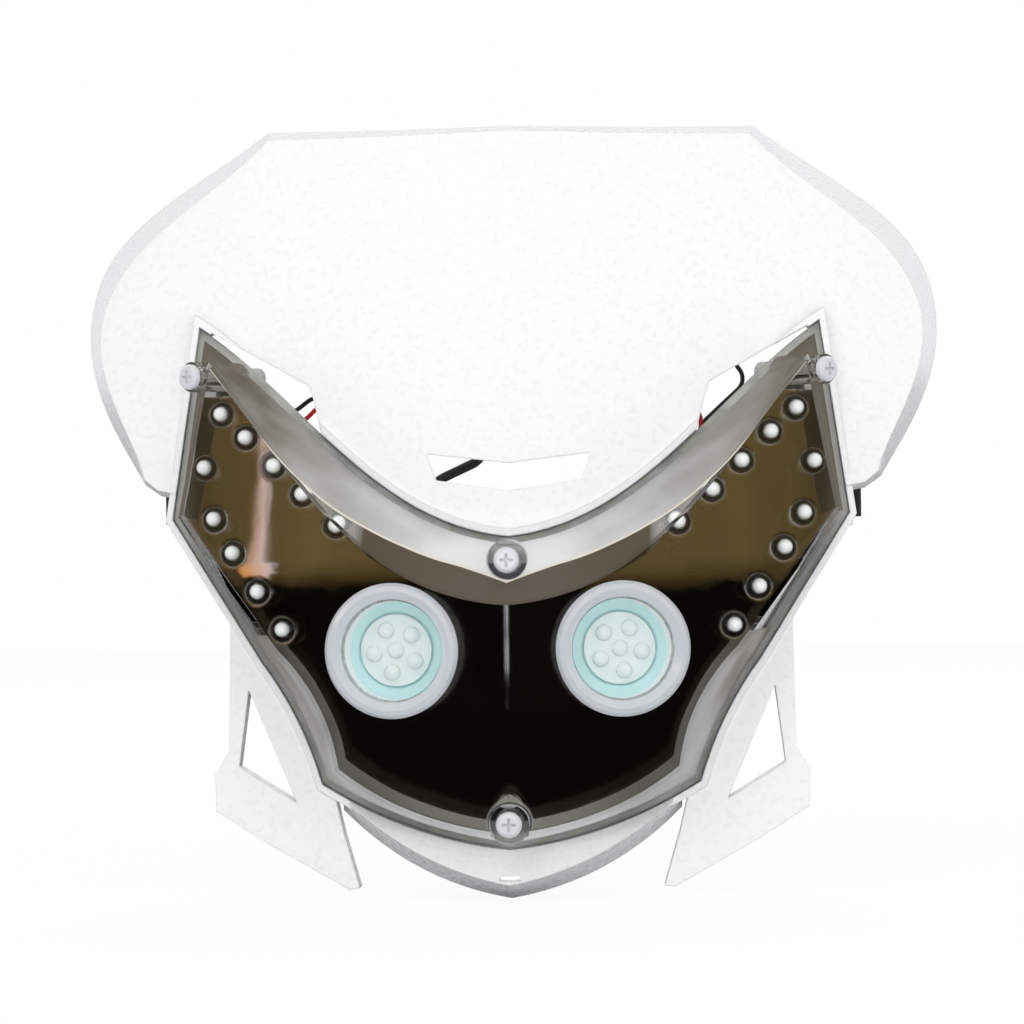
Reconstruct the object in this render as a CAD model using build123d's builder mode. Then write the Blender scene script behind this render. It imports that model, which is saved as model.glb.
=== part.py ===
"""Dirt bike LED headlight: a number plate mask with a V shaped LED lamp unit.

Millimetres. X to the rider's left as seen from the front, front is -Y, +Z is up.
The origin lies between the two fork tubes, at the height of the rubber straps.
"""

import os
from math import asin, atan, atan2, cos, degrees, hypot, radians, sin

from build123d import *

os.makedirs("parts", exist_ok=True)

# Fork tubes and the straps that hold the mask on them
fork_radius = 23.0
fork_offset = 91.5
strap_thickness = 3.5
strap_height = 18.0
post_radius = 3.2
post_setback = 32.0
post_head_radius = 4.7
post_head = 2.0
bracket_start = 52.0
bracket_width = 7.7

# Clearances
seat_gap = 0.3
screw_gap = 0.15

# Depth of the whole unit: the nose of the lens lies this far in front of the fork tubes
nose_depth = 125.0

# Rim plane of the lamp unit: its depth behind the nose, its sweep to the sides and its lean
rim_depth = 40.0
rim_sweep = 0.233
rim_lean = 0.13

# Rim of the lamp unit, right half, from the top dip clockwise to the bottom:
# across, up, outward flare of the wall for each mm of depth, and whether it is a corner
lamp_rim = [
    (0.0, -14.3, 0.50, True),
    (28.0, -5.8, 0.44, False),
    (62.5, 20.5, 0.33, False),
    (103.5, 56.5, 0.20, True),
    (112.5, -7.4, 0.08, True),
    (82.0, -55.0, 0.17, True),
    (69.5, -75.0, 0.22, False),
    (61.9, -94.6, 0.20, True),
    (39.4, -105.7, 0.15, False),
    (0.0, -115.3, 0.15, True),
]

# Front of the lens in plan: flat to this half width, then swept back to the horns
lens_flat_width = 52.0
lens_flat_slope = 0.158
lens_sweep_width = 112.0
lens_sweep_depth = 40.7
lens_lean = 0.30
lens_upper_level = -27.0
lens_lower_level = -75.0
lens_bend_radius = 40.0

# Lens cover
lens_wall = 1.8
flange_width = 2.0
flange_thickness = 2.2

# Seal, lamp housing and reflector, stacked behind the lens flange
seal_thickness = 1.2
seal_width = 2.0
tray_flange = 2.2
tray_inset = 6.0
tray_wall = 2.2
tray_taper = -0.12
tray_back = 39.0
reflector_inset = 4.4
reflector_wall = 1.4
reflector_setback = 7.0
reflector_top = 33.0

# Round lamps
lamp_offset = 37.1
lamp_height = -50.3
lamp_radius = 17.5
trim_radius = 21.8
trim_height = 2.4
glass_thickness = 2.3
glass_radius = 17.1
lip_radius = 16.7
glass_seat = 3.4
cluster_led_height = 3.2
dish_radius = 12.5
dish_depth = 8.6
cup_taper = [(12.8, -14.0), (9.0, -19.0), (6.5, -22.0)]
cup_depth = 27.0
neck_radius = 6.5
socket_wall = 1.7
socket_seat = 5.0
socket_floor = 1.6
socket_stand = 0.5
socket_margin = 2.0
socket_gap = 0.3
cluster_board_radius = 11.6
board_thickness = 1.6
cluster_led_radius = 2.65
cluster_ring_radius = 7.2
cluster_led_count = 6
pin_spacing = 4.0
pin_radius = 0.6
pin_length = 5.0
socket_size = (14.0, 10.0)
socket_corner = 1.5
socket_length = 12.0

# Small LEDs: places in the front view on the right, row by row
led_radius = 2.5
led_length = 7.0
led_flange_radius = 2.8
led_flange = 1.0
led_lead = 0.6
led_lead_spacing = 2.54
cup_mouth_radius = 4.3
cup_setback = 6.5
cup_wall = 1.2
cup_floor = 1.5
upper_row = [(94.6, 27.2), (86.0, 19.3), (76.3, 9.8), (66.6, 0.4), (55.4, -9.9)]
side_row = [(100.2, 9.6), (96.5, -7.4), (89.8, -18.6), (81.2, -31.0), (73.0, -43.3)]
strip_width = 4.6
strip_gap = 2.0
strip_post_radius = 1.8

# Lens screws
screw_head_radius = 4.2
screw_head = 2.4
screw_radius = 1.6
screw_length = 16.0
boss_radius = 6.5
horn_boss_radius = 5.0
post_outer_radius = 4.6
horn_post_radius = 3.4
top_screw_height = -21.5
top_screw_depth = 14.0
bottom_screw_height = -106.2
bottom_screw_depth = 8.0
horn_screw_offset = 103.7
horn_screw_height = 39.8
horn_screw_turn = 40.0

# Number plate of the mask: depth behind the nose, lean, radius in plan and outline
mask_wall = 2.5
plate_depth = 46.2
plate_lean = 0.30
plate_radius = 363.0
plate_flange = 20.0
plate_rim = [
    (0.0, 122.7, 0.16, True),
    (81.7, 121.3, 0.20, True),
    (115.7, 93.0, 0.36, False),
    (134.0, 74.0, 0.33, False),
    (139.1, 55.9, 0.27, False),
    (133.5, 31.0, 0.26, False),
    (122.6, 6.1, 0.12, True),
    (118.0, 2.5, 0.10, True),
    (0.0, -25.0, 0.0, True),
]
horn_opening = [(99.5, 55.0), (66.7, 36.7), (65.2, 32.4), (61.0, 16.0), (75.0, 16.0), (104.0, 50.0)]
mouth = [(0.0, 10.1), (27.3, 13.3), (23.8, 4.6), (0.0, 1.1)]

# Frame of the mask round the lamp unit
skirt_wall = 2.2
skirt_ahead = 1.0
skirt_astern = 12.0
ledge_width = 5.0
ledge_thickness = 2.4

# Cheeks and chin of the mask
cheek = [
    (90.5, -38.0), (93.1, -41.5), (93.6, -84.0), (98.2, -91.7), (97.9, -103.7), (81.6, -113.7),
    (53.1, -128.9), (49.8, -128.3), (55.0, -110.9), (58.5, -96.0), (70.0, -70.0),
]
cheek_depth = 12.0
window = [(86.9, -64.0), (90.1, -89.3), (70.7, -100.8)]
window_wall = 2.0
chin = [
    (0.0, -75.0, 0.0, True),
    (57.0, -75.0, 0.0, True),
    (52.3, -101.5, 0.25, True),
    (28.0, -117.0, 0.25, False),
    (0.0, -126.0, 0.25, True),
]
chin_depth = 25.0
chin_level = -115.3
chin_lean = 1.215
chin_sweep = -0.11
chin_wall = 4.0
slot_size = (6.7, 1.5)
slot_height = -124.0

# Cable and lamp wires: size, holes in the housing's back wall and way to the connector
cable_radius = 1.6
wire_radius = 0.75
grommet_place = (-34.0, -27.0)
grommet_neck = 4.0
grommet_flange = 5.6
grommet_lip = 1.6
cable_bend = 7.0
wire_bend = 5.0
wire_straight = 7.5
wire_step = 4.0
cable_run = [
    (-34.0, -48.0, -27.0), (-34.0, -29.0, -27.0), (-34.0, -30.0, -8.0), (-24.6, -60.0, 4.5),
    (-10.6, -61.5, 10.9),
]
left_red_run = [
    (-36.0, -58.0, -42.0), (-84.0, -49.0, 10.0), (-84.0, -31.0, 10.0), (-76.0, -32.0, 24.5),
    (-69.1, -46.0, 25.7), (-64.9, -47.0, 29.9), (-38.0, -51.0, 31.0),
]
left_black_run = [
    (-30.0, -56.0, -34.0), (-84.0, -49.0, 15.0), (-84.0, -31.0, 15.0), (-80.0, -32.0, 28.0),
    (-72.4, -45.0, 28.8), (-67.1, -46.5, 32.8), (-34.0, -51.0, 36.0),
]
right_red_run = [
    (40.0, -56.0, -42.0), (60.0, -49.0, -8.0), (60.0, -32.0, -8.0), (63.9, -44.0, 22.4),
    (63.9, -46.5, 27.0), (44.0, -49.0, 35.0),
]
right_black_run = [
    (36.0, -55.0, -36.0), (54.0, -49.0, -12.0), (54.0, -32.0, -12.0), (65.0, -42.0, 23.7),
    (79.8, -45.0, 37.2), (66.0, -43.0, 56.0), (30.0, -44.0, 46.0), (16.0, -50.0, 22.0),
]

# Connector behind the plate, its blade pins and the clips of the mask that hold it
connector_height = 50.0
connector_size = (24.0, 22.0, 9.0)
connector_radius = 1.2
connector_wall = 1.6
connector_cavity = 10.0
connector_standoff = 0.6
wire_spacing = 4.4
blade_size = (3.0, 0.8)
blade_setback = 2.0
blade_spacing = 6.5
clip_wall = 1.6
clip_length = 9.0
clip_hook = 0.9
clip_hook_height = 1.2

# Housing screws, from behind through the mask's ledge
housing_screw_places = [(82.0, 33.4), (94.9, -29.7)]
housing_screw_radius = 1.25
housing_screw_head_radius = 2.7
housing_screw_head = 1.6
housing_screw_bite = 1.8
housing_boss_radius = 2.3
recess_size = (4.2, 0.9)
recess_depth = 1.1

# Reach of the cutting blocks beyond the part, and the distance under which edges count as level
reach = 220.0
seam = 0.01


def rim_y(x, z):
    """Y of the lamp unit's rim plane at a place in the front view."""
    return rim_depth - nose_depth + rim_sweep * abs(x) + rim_lean * z


def sloped_plane(lead, sweep, lean):
    """Sketch plane whose y is lead + sweep x + lean z, facing forward."""
    return Plane(origin=(0, lead, 0), x_dir=(1, sweep, 0), z_dir=(sweep, -1, lean))


def wedge(lead, sweep, lean):
    """Everything behind a V shaped surface that sweeps back to both sides."""
    with BuildPart() as block:
        with BuildSketch(Plane.XY):
            with BuildLine():
                Polyline(
                    (0, lead), (reach, lead + sweep * reach), (reach, reach), (0, reach), close=True
                )
            make_face()
            mirror(about=Plane.YZ)
        extrude(amount=reach, dir=(0, lean, 1), both=True)
    return block.part


def behind_rim(setback):
    """Everything behind the rim plane, moved back by the setback."""
    return wedge(rim_depth - nose_depth + setback, rim_sweep, rim_lean)


def shifted(points, setbacks, inset):
    """Points of a half outline, moved out along their normals by flare times setback, less an inset."""
    moved = []
    for index, (x, z, flare, _) in enumerate(points):
        if index == 0:
            before = Vector(-points[1][0], points[1][1])
        else:
            before = Vector(points[index - 1][0], points[index - 1][1])
        if index == len(points) - 1:
            after = Vector(-points[-2][0], points[-2][1])
        else:
            after = Vector(points[index + 1][0], points[index + 1][1])
        here = Vector(x, z)
        inward = (here - before).normalized()
        onward = (after - here).normalized()
        first = Vector(-inward.Y, inward.X)
        second = Vector(-onward.Y, onward.X)
        normal = (first + second).normalized()
        amount = (flare * setbacks[index] - inset) / normal.dot(first)
        moved.append((x + normal.X * amount, z + normal.Y * amount))
    return moved


def draw_half(points, moved, plane, y_at):
    """Half outline drawn on a plane from its front view points, closed along the middle."""
    places = [plane.to_local_coords(Vector(x, y_at(x, z), z)) for x, z in moved]
    places = [(place.X, place.Y) for place in places]
    with BuildSketch(plane) as section:
        with BuildLine():
            run = [places[0]]
            for place, (_, _, _, corner) in zip(places[1:], points[1:]):
                run.append(place)
                if corner:
                    if len(run) > 2:
                        Spline(*run)
                    else:
                        Line(*run)
                    run = [place]
            Line(places[-1], places[0])
        make_face()
    return section.sketch


def walls(points, inset, front, back, slope, base_y):
    """Half solid inside an outline whose walls flare between two parallel sloped planes."""
    sweep, lean = slope
    sections = []
    for lead in (front, back):
        def y_at(x, z):
            return lead + sweep * x + lean * z

        setbacks = [y_at(x, z) - base_y(x, z) for x, z, _, _ in points]
        moved = shifted(points, setbacks, inset)
        sections.append(draw_half(points, moved, sloped_plane(lead, sweep, lean), y_at))
    with BuildPart() as block:
        loft(sections=sections, ruled=True)
        mirror(about=Plane.YZ)
    return block.part


def lamp_walls(inset, ahead=46.0, astern=12.0, points=lamp_rim):
    """Solid inside the lamp unit's flared walls, with its walls moved in by the inset."""
    lead = rim_depth - nose_depth
    return walls(points, inset, lead - ahead, lead + astern, (rim_sweep, rim_lean), rim_y)


def lens_plan(lead):
    """Plan of the lens front: two flats that meet at the nose, swept back to the horns."""
    with BuildSketch(Plane.XY) as plan:
        with BuildLine():
            flat = Line((0, lead), (lens_flat_width, lead + lens_flat_width * lens_flat_slope))
            bend = TangentArc(flat @ 1, (lens_sweep_width, lead + lens_sweep_depth), tangent=flat % 1)
            side = Line(bend @ 1, bend @ 1 + (bend % 1) * 30)
            Polyline(side @ 1, ((side @ 1).X, reach), (0, reach), (0, lead))
        make_face()
        mirror(about=Plane.YZ)
    return plan.sketch


def behind_lens(setback):
    """Everything behind the lens front: upright at the nose, leaning back above and below."""
    plan = lens_plan(setback - nose_depth)
    with BuildPart() as block:
        with BuildSketch():
            add(plan)
        extrude(amount=reach, both=True)
        with BuildSketch(Plane.XY.offset(lens_upper_level)):
            add(plan)
        extrude(amount=reach, dir=(0, lens_lean, 1), both=True, mode=Mode.INTERSECT)
        with BuildSketch(Plane.XY.offset(lens_lower_level)):
            add(plan)
        extrude(amount=reach, dir=(0, -lens_lean, 1), both=True, mode=Mode.INTERSECT)
        bends = block.edges().filter_by(lambda edge: edge.bounding_box().size.Z < seam)
        levels = (lens_upper_level, lens_lower_level)
        fillet(
            bends.filter_by(lambda edge: min(abs(edge.center().Z - level) for level in levels) < seam
                            and edge.center().Y < 0),
            lens_bend_radius,
        )
    return block.part


def lens_y(x, z):
    """Y of the lens front at a place in the front view."""
    across = abs(x)
    turn = atan(lens_flat_slope)
    if across <= lens_flat_width:
        depth = across * lens_flat_slope
    else:
        run = lens_sweep_width - lens_flat_width
        drop = lens_sweep_depth - lens_flat_width * lens_flat_slope
        radius = hypot(run, drop) / (2 * sin(atan2(drop, run) - turn))
        angle = asin(sin(turn) + (across - lens_flat_width) / radius)
        depth = lens_flat_width * lens_flat_slope + radius * (cos(turn) - cos(angle))
    lean = lens_lean * max(0, z - lens_upper_level, lens_lower_level - z)
    return depth + lean - nose_depth


def pillar(x, z, radius, front, back):
    """Round post along Y between two depths."""
    with BuildPart() as post:
        with BuildSketch(Plane.XZ.offset(-front)):
            with Locations((x, z)):
                Circle(radius)
        extrude(amount=front - back)
    return post.part


def both_sides(solid):
    """A right hand solid and its mirror image."""
    return [solid, solid.mirror(Plane.YZ)]


def horn_plane(setback=0.0):
    """Plane across the right horn screw, facing along the screw towards its head."""
    turn = radians(horn_screw_turn)
    origin = Vector(horn_screw_offset, lens_y(horn_screw_offset, horn_screw_height), horn_screw_height)
    facing = Vector(sin(turn), -cos(turn), 0)
    return Plane(origin=origin - facing * setback, z_dir=facing)


def horn_pillar(radius, ahead, astern):
    """Round post along the right horn screw, ahead and astern of the lens front."""
    with BuildPart() as post:
        with BuildSketch(horn_plane(-ahead)):
            Circle(radius)
        extrude(amount=-ahead - astern)
    return post.part


straight_rim = [(x, z, 0.0, corner) for x, z, _, corner in lamp_rim]
tray_rim = [(x, z, tray_taper, corner) for x, z, _, corner in lamp_rim]
seal_back = flange_thickness + seal_thickness
tray_flange_back = seal_back + tray_flange
top_seat = rim_y(0, top_screw_height) + flange_thickness
bottom_seat = rim_y(0, bottom_screw_height) + flange_thickness


def ring(outer, inner, front, back, points=lamp_rim):
    """Band that follows the lamp unit's rim between two insets and two setbacks."""
    band = lamp_walls(outer, points=points) & (behind_rim(front) - behind_rim(back))
    return band - lamp_walls(inner, points=points)


def make_lens():
    """Clear moulding: swept front, flared walls, screw bosses and a flange on the seal."""
    shell = lamp_walls(flange_width) & behind_lens(0)
    flange = lamp_walls(0, points=straight_rim) & (behind_rim(0) - behind_rim(flange_thickness))
    hollow = lamp_walls(flange_width + lens_wall) & behind_lens(lens_wall)
    top = -nose_depth + top_screw_depth
    bottom = -nose_depth + bottom_screw_depth
    bosses = [
        pillar(0, top_screw_height, boss_radius, top, -tray_back),
        pillar(0, bottom_screw_height, boss_radius, bottom, -tray_back),
    ]
    bosses += both_sides(horn_pillar(horn_boss_radius, 1.5, 20.0))
    bores = [
        pillar(0, top_screw_height, screw_radius + screw_gap, top - 1, reach),
        pillar(0, bottom_screw_height, screw_radius + screw_gap, bottom - 1, reach),
    ]
    bores += both_sides(horn_pillar(screw_radius + screw_gap, 3.0, 40.0))
    with BuildPart() as cover:
        add(shell)
        add(flange)
        add(hollow, mode=Mode.SUBTRACT)
        add(bosses)
        add(behind_rim(flange_thickness), mode=Mode.SUBTRACT)
        add(bores, mode=Mode.SUBTRACT)
    return cover


def make_seal():
    """Rubber ring between the lens flange and the housing flange."""
    with BuildPart() as seal:
        add(ring(seat_gap, seat_gap + seal_width, flange_thickness, seal_back, straight_rim))
        for height in (top_screw_height, bottom_screw_height):
            add(pillar(0, height, post_outer_radius + seat_gap, -nose_depth, 0), mode=Mode.SUBTRACT)
        add(both_sides(horn_pillar(horn_post_radius + seat_gap, 5, 30)), mode=Mode.SUBTRACT)
    return seal


def tray_walls(inset):
    """Solid inside the tapering walls of the lamp housing."""
    lead = rim_depth - nose_depth
    return walls(tray_rim, inset, lead - 4, lead + 62, (rim_sweep, rim_lean), rim_y)


def behind_plane(y):
    """Everything behind a plain upright plane."""
    return wedge(y, 0, 0)


def make_housing():
    """Moulded tray behind the reflector, with a flange all round and posts for the lens screws."""
    body = tray_walls(tray_inset) & (behind_rim(seal_back) - behind_plane(-tray_back))
    flange = lamp_walls(0, points=straight_rim) & (behind_rim(seal_back) - behind_rim(tray_flange_back))
    hollow = tray_walls(tray_inset + tray_wall) - behind_plane(-tray_back - tray_wall)
    floor = -tray_back - tray_wall / 2
    post_zone = behind_rim(flange_thickness) - behind_plane(floor)
    posts = [
        pillar(0, top_screw_height, post_outer_radius, -nose_depth, 0) & post_zone,
        pillar(0, bottom_screw_height, post_outer_radius, -nose_depth, 0) & post_zone,
    ]
    horn = horn_pillar(horn_post_radius, 0, 30.0) & post_zone
    bores = [
        pillar(0, top_screw_height, screw_radius + screw_gap, top_seat - 1, top_seat + 14),
        pillar(0, bottom_screw_height, screw_radius + screw_gap, bottom_seat - 1, bottom_seat + 14),
    ]
    bores += both_sides(horn_pillar(screw_radius + screw_gap, 0, 20.0))
    bosses = []
    for place in housing_screw_places:
        bosses += both_sides(ledge_pillar(place, housing_boss_radius, -1.0, ledge_thickness))
        bore_radius = housing_screw_radius + screw_gap
        bores += both_sides(ledge_pillar(place, bore_radius, -housing_screw_bite, ledge_thickness + 1))
    holes = [pillar(*grommet_place, grommet_neck + screw_gap, -tray_back - 6, 0)]
    for run in (left_red_run, left_black_run, right_red_run, right_black_run):
        x, _, z = next(place for place in run if place[1] > -tray_back - tray_wall)
        holes.append(pillar(x, z, wire_radius + seat_gap, -tray_back - 6, 0))
    with BuildPart() as housing:
        add(body)
        add(flange)
        add(hollow, mode=Mode.SUBTRACT)
        add(posts)
        add(both_sides(horn))
        add(bosses)
        add(bores, mode=Mode.SUBTRACT)
        add(holes, mode=Mode.SUBTRACT)
    return housing


def ledge_plane(place, setback):
    """Plane parallel to the right half of the rim plane at a place behind it, facing backward."""
    x, z = place
    facing = Vector(-rim_sweep, 1, -rim_lean).normalized()
    return Plane(origin=Vector(x, rim_y(x, z) + tray_flange_back, z) + facing * setback, z_dir=facing)


def ledge_pillar(place, radius, front, back):
    """Round post square to the mask's ledge, between two distances behind the housing flange."""
    with BuildPart() as post:
        with BuildSketch(ledge_plane(place, front)):
            Circle(radius)
        extrude(amount=back - front)
    return post.part


def lamp_plane(height=0.0):
    """Plane across the right round lamp, facing forward, its height measured off the reflector."""
    facing = Vector(lens_flat_slope, -1, 0).normalized()
    seat = lamp_offset * lens_flat_slope + reflector_setback - nose_depth
    return Plane(origin=Vector(lamp_offset, seat, lamp_height) + facing * height, z_dir=facing)


def lamp_turned(profile):
    """Solid of revolution about the right lamp's axis from (radius, height) points."""
    with BuildPart() as turned:
        with BuildSketch(Plane.XZ):
            with BuildLine():
                Polyline(*profile, close=True)
            make_face()
        revolve(axis=Axis.Z)
    return lamp_plane().from_local_coords(turned.part)


def cup_mouth(x, z):
    """Y of the reflector's front at a small LED."""
    return lens_y(x, z) + reflector_setback


def cup_back(x, z):
    """Y of the back of a small LED's cup, where the LED's flange sits."""
    return cup_mouth(x, z) + cup_setback + cup_floor


def cup_cone(x, z):
    """Tapered recess of a small LED's cup, with the hole for the LED."""
    y = cup_mouth(x, z) + cup_setback
    length = cup_setback + 6
    with BuildPart() as cone:
        with BuildSketch(Plane.XZ.offset(-y)):
            with Locations((x, z)):
                Circle(led_radius + 0.6)
        spread = cup_mouth_radius - led_radius - 0.6
        extrude(amount=length, taper=-degrees(atan(spread / cup_setback)))
        with BuildSketch(Plane.XZ.offset(-y)):
            with Locations((x, z)):
                Circle(led_radius + screw_gap)
        extrude(amount=-cup_floor - 1)
    return cone.part


def strip_slope(row):
    """Lead, sweep and lean of the flat strip that lies behind a row of small LEDs."""
    (x0, z0), (x1, z1) = row[0], row[-1]
    back0 = cup_back(x0, z0) + led_flange + strip_gap
    back1 = cup_back(x1, z1) + led_flange + strip_gap
    lean = lens_lean
    sweep = (back0 - back1 - lean * (z0 - z1)) / (x0 - x1)
    lead = back0 - sweep * x0 - lean * z0
    return lead, sweep, lean


def make_strip(row):
    """Right hand circuit strip behind a row of small LEDs."""
    lead, sweep, lean = strip_slope(row)
    with BuildPart() as strip:
        with BuildSketch(Plane.XZ.offset(reach)):
            with BuildLine():
                Polyline(*row) if row is upper_row else Spline(*row)
            trace(line_width=strip_width)
        extrude(amount=-2 * reach)
        add(wedge(lead, sweep, lean), mode=Mode.INTERSECT)
        add(wedge(lead + board_thickness, sweep, lean), mode=Mode.SUBTRACT)
    return strip


def make_leds(row):
    """Right hand row of five small LEDs with flanges and two leads each down to their strip."""
    with BuildPart() as leds:
        for x, z in row:
            back = cup_back(x, z)
            with BuildSketch(Plane.XZ.offset(-back)):
                with Locations((x, z)):
                    Circle(led_radius)
            body = extrude(amount=led_length)
            fillet(body.faces().sort_by(Axis.Y)[0].edges(), led_radius * 0.96)
            with BuildSketch(Plane.XZ.offset(-back)):
                with Locations((x, z)):
                    Circle(led_flange_radius)
            extrude(amount=-led_flange)
            with BuildSketch(Plane.XZ.offset(-back - led_flange)):
                with Locations((x, z)):
                    with GridLocations(led_lead_spacing, 1, 2, 1):
                        Rectangle(led_lead, led_lead)
            extrude(amount=-20)
        add(wedge(*strip_slope(row)), mode=Mode.SUBTRACT)
    return leds


def make_reflector():
    """Chromed moulding: front parallel to the lens, lamp sockets, LED cups and strip posts."""
    front = behind_lens(reflector_setback)
    shell = lamp_walls(reflector_inset) & front
    hollow = lamp_walls(reflector_inset + reflector_wall) & behind_lens(
        reflector_setback + reflector_wall
    )
    cups = []
    cones = []
    posts = []
    for row in (upper_row, side_row):
        for x, z in row:
            cup = pillar(x, z, cup_mouth_radius + cup_wall, cup_mouth(x, z) - 8, cup_back(x, z))
            cups.append(cup & shell)
            cones.append(cup_cone(x, z))
        for (x0, z0), (x1, z1) in ((row[0], row[1]), (row[3], row[4])):
            x, z = (x0 + x1) / 2, (z0 + z1) / 2
            post = pillar(x, z, strip_post_radius, cup_mouth(x, z), 0) - wedge(*strip_slope(row))
            posts.append(post & shell)
    tube = lamp_turned([
        (lamp_radius - socket_wall, socket_stand),
        (lamp_radius + socket_margin, socket_stand),
        (lamp_radius + socket_margin, -socket_seat - socket_floor),
        (lamp_radius - socket_wall, -socket_seat - socket_floor),
    ])
    bore = lamp_turned([
        (0, socket_seat),
        (lamp_radius + seat_gap, socket_seat),
        (lamp_radius + seat_gap, -socket_seat),
        (lamp_radius - socket_wall, -socket_seat),
        (lamp_radius - socket_wall, -socket_seat - 2 * socket_floor),
        (0, -socket_seat - 2 * socket_floor),
    ])
    with BuildPart() as reflector:
        add(shell)
        add(hollow, mode=Mode.SUBTRACT)
        for cup in cups + posts:
            add(both_sides(cup))
        add(both_sides(tube & shell))
        for cone in cones:
            add(both_sides(cone), mode=Mode.SUBTRACT)
        add(both_sides(bore), mode=Mode.SUBTRACT)
        add(behind_rim(seal_back), mode=Mode.SUBTRACT)
        add(pillar(0, top_screw_height, boss_radius + 0.5, -nose_depth, reach), mode=Mode.SUBTRACT)
        add(pillar(0, bottom_screw_height, boss_radius + 0.5, -nose_depth, reach), mode=Mode.SUBTRACT)
        with BuildSketch(Plane.XY.offset(reflector_top)):
            Rectangle(2 * reach, 2 * reach)
        extrude(amount=reach, mode=Mode.SUBTRACT)
    return reflector


def make_trim_ring():
    """Chromed ring over the joint between the right lamp and the reflector."""
    with BuildPart() as ring_part:
        add(lamp_turned([
            (lip_radius, -0.8),
            (lamp_radius, -0.8),
            (lamp_radius, 0),
            (trim_radius, 0),
            (trim_radius, 0.5),
            (trim_radius - 1.0, 1.8),
            (trim_radius - 2.6, trim_height),
            (lip_radius + 1.2, 1.4),
            (lip_radius, 0.4),
        ]))
    return ring_part


def make_lamp_cup():
    """Moulded body of the right round lamp: conical dish, neck and two contact pins."""
    with BuildPart() as pin:
        with BuildSketch(lamp_plane(-cup_depth)):
            with GridLocations(pin_spacing, 1, 2, 1):
                Circle(pin_radius)
        extrude(amount=-pin_length)
    with BuildPart() as cup:
        add(lamp_turned([
            (0, -dish_depth - 1.0), (cluster_board_radius + 0.2, -dish_depth - 1.0),
            (dish_radius, -dish_depth + 0.6), (16.0, -glass_seat), (lamp_radius, -glass_seat),
            (lamp_radius, -socket_seat), (lamp_radius - socket_wall - socket_gap, -socket_seat),
            (lamp_radius - socket_wall - socket_gap, -8.0), *cup_taper, (neck_radius, -cup_depth),
            (0, -cup_depth),
        ]))
        add(pin.part)
    return cup


def make_lamp_glass():
    """Clear glass disc in the mouth of the right round lamp."""
    with BuildPart() as glass:
        add(lamp_turned([
            (0, -glass_seat), (glass_radius, -glass_seat), (glass_radius, -glass_seat + glass_thickness),
            (0, -glass_seat + glass_thickness),
        ]))
    return glass


def make_cluster_board():
    """Round circuit board on the floor of the right lamp's dish."""
    floor = -dish_depth - 1.0
    with BuildPart() as board:
        add(lamp_turned([
            (0, floor), (cluster_board_radius, floor), (cluster_board_radius, floor + board_thickness),
            (0, floor + board_thickness),
        ]))
    return board


def make_cluster_leds():
    """Six LEDs on the right round board: one in the middle and five round it."""
    seat = lamp_plane(-dish_depth - 1.0 + board_thickness)
    with BuildPart() as leds:
        with BuildSketch(seat):
            Circle(cluster_led_radius)
            with PolarLocations(cluster_ring_radius, cluster_led_count - 1, start_angle=28):
                Circle(cluster_led_radius)
        domes = extrude(amount=cluster_led_height)
        fronts = domes.faces().filter_by(GeomType.PLANE).sort_by(Axis.Y)[:cluster_led_count]
        fillet(fronts.edges(), cluster_led_radius * 0.9)
    return leds


def make_lamp_socket():
    """Two pin connector pushed on the back of the right round lamp."""
    with BuildPart() as socket:
        with BuildSketch(lamp_plane(-cup_depth)):
            RectangleRounded(*socket_size, socket_corner)
            with GridLocations(pin_spacing, 1, 2, 1):
                Circle(pin_radius + screw_gap, mode=Mode.SUBTRACT)
        extrude(amount=-socket_length)
    return socket


def make_screw(plane, length, head_radius=screw_head_radius, height=screw_head, radius=screw_radius):
    """Pan head screw with a cross recess; its head seats on the plane, its shank runs back from it."""
    top = plane.offset(height)
    with BuildPart() as screw:
        with BuildSketch(plane):
            Circle(head_radius)
        head = extrude(amount=height)
        rim = head.edges().filter_by(GeomType.CIRCLE).sort_by_distance(top.origin)[0]
        fillet(rim, height * 0.6)
        with BuildSketch(top):
            Rectangle(*recess_size)
            Rectangle(*recess_size[::-1])
        extrude(amount=-recess_depth, mode=Mode.SUBTRACT)
        with BuildSketch(plane):
            Circle(radius)
        extrude(amount=-length)
    return screw


def make_run(points, radius, bend):
    """Round cable or wire along straight runs with rounded bends."""
    points = [Vector(*point) for point in points]
    with BuildPart() as run:
        with BuildLine():
            FilletPolyline(*points, radius=bend)
        with BuildSketch(Plane(origin=points[0], z_dir=points[1] - points[0])):
            Circle(radius)
        sweep()
    return run


def connector_plane(setback):
    """Plane parallel to the plate at the connector, behind the plate's back, facing backward."""
    origin = Vector(0, plate_y(0, connector_height) + mask_wall, connector_height)
    facing = Vector(0, 1, -plate_lean).normalized()
    return Plane(origin=origin + facing * setback, x_dir=(1, 0, 0), z_dir=facing)


def connector_end(across):
    """Place on the connector's lower end where a cable or wire goes in, and its direction there."""
    plane = connector_plane(connector_standoff + connector_size[2] / 2)
    place = plane.origin + plane.x_dir * across + plane.y_dir * connector_size[1] / 2
    return place, plane.y_dir * -1


def make_cable():
    """Sleeved main cable from the housing's grommet to the connector."""
    end, direction = connector_end(0)
    bend = end - direction * (cable_bend + 2)
    return make_run(cable_run + [bend, end], cable_radius, cable_bend)


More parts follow.
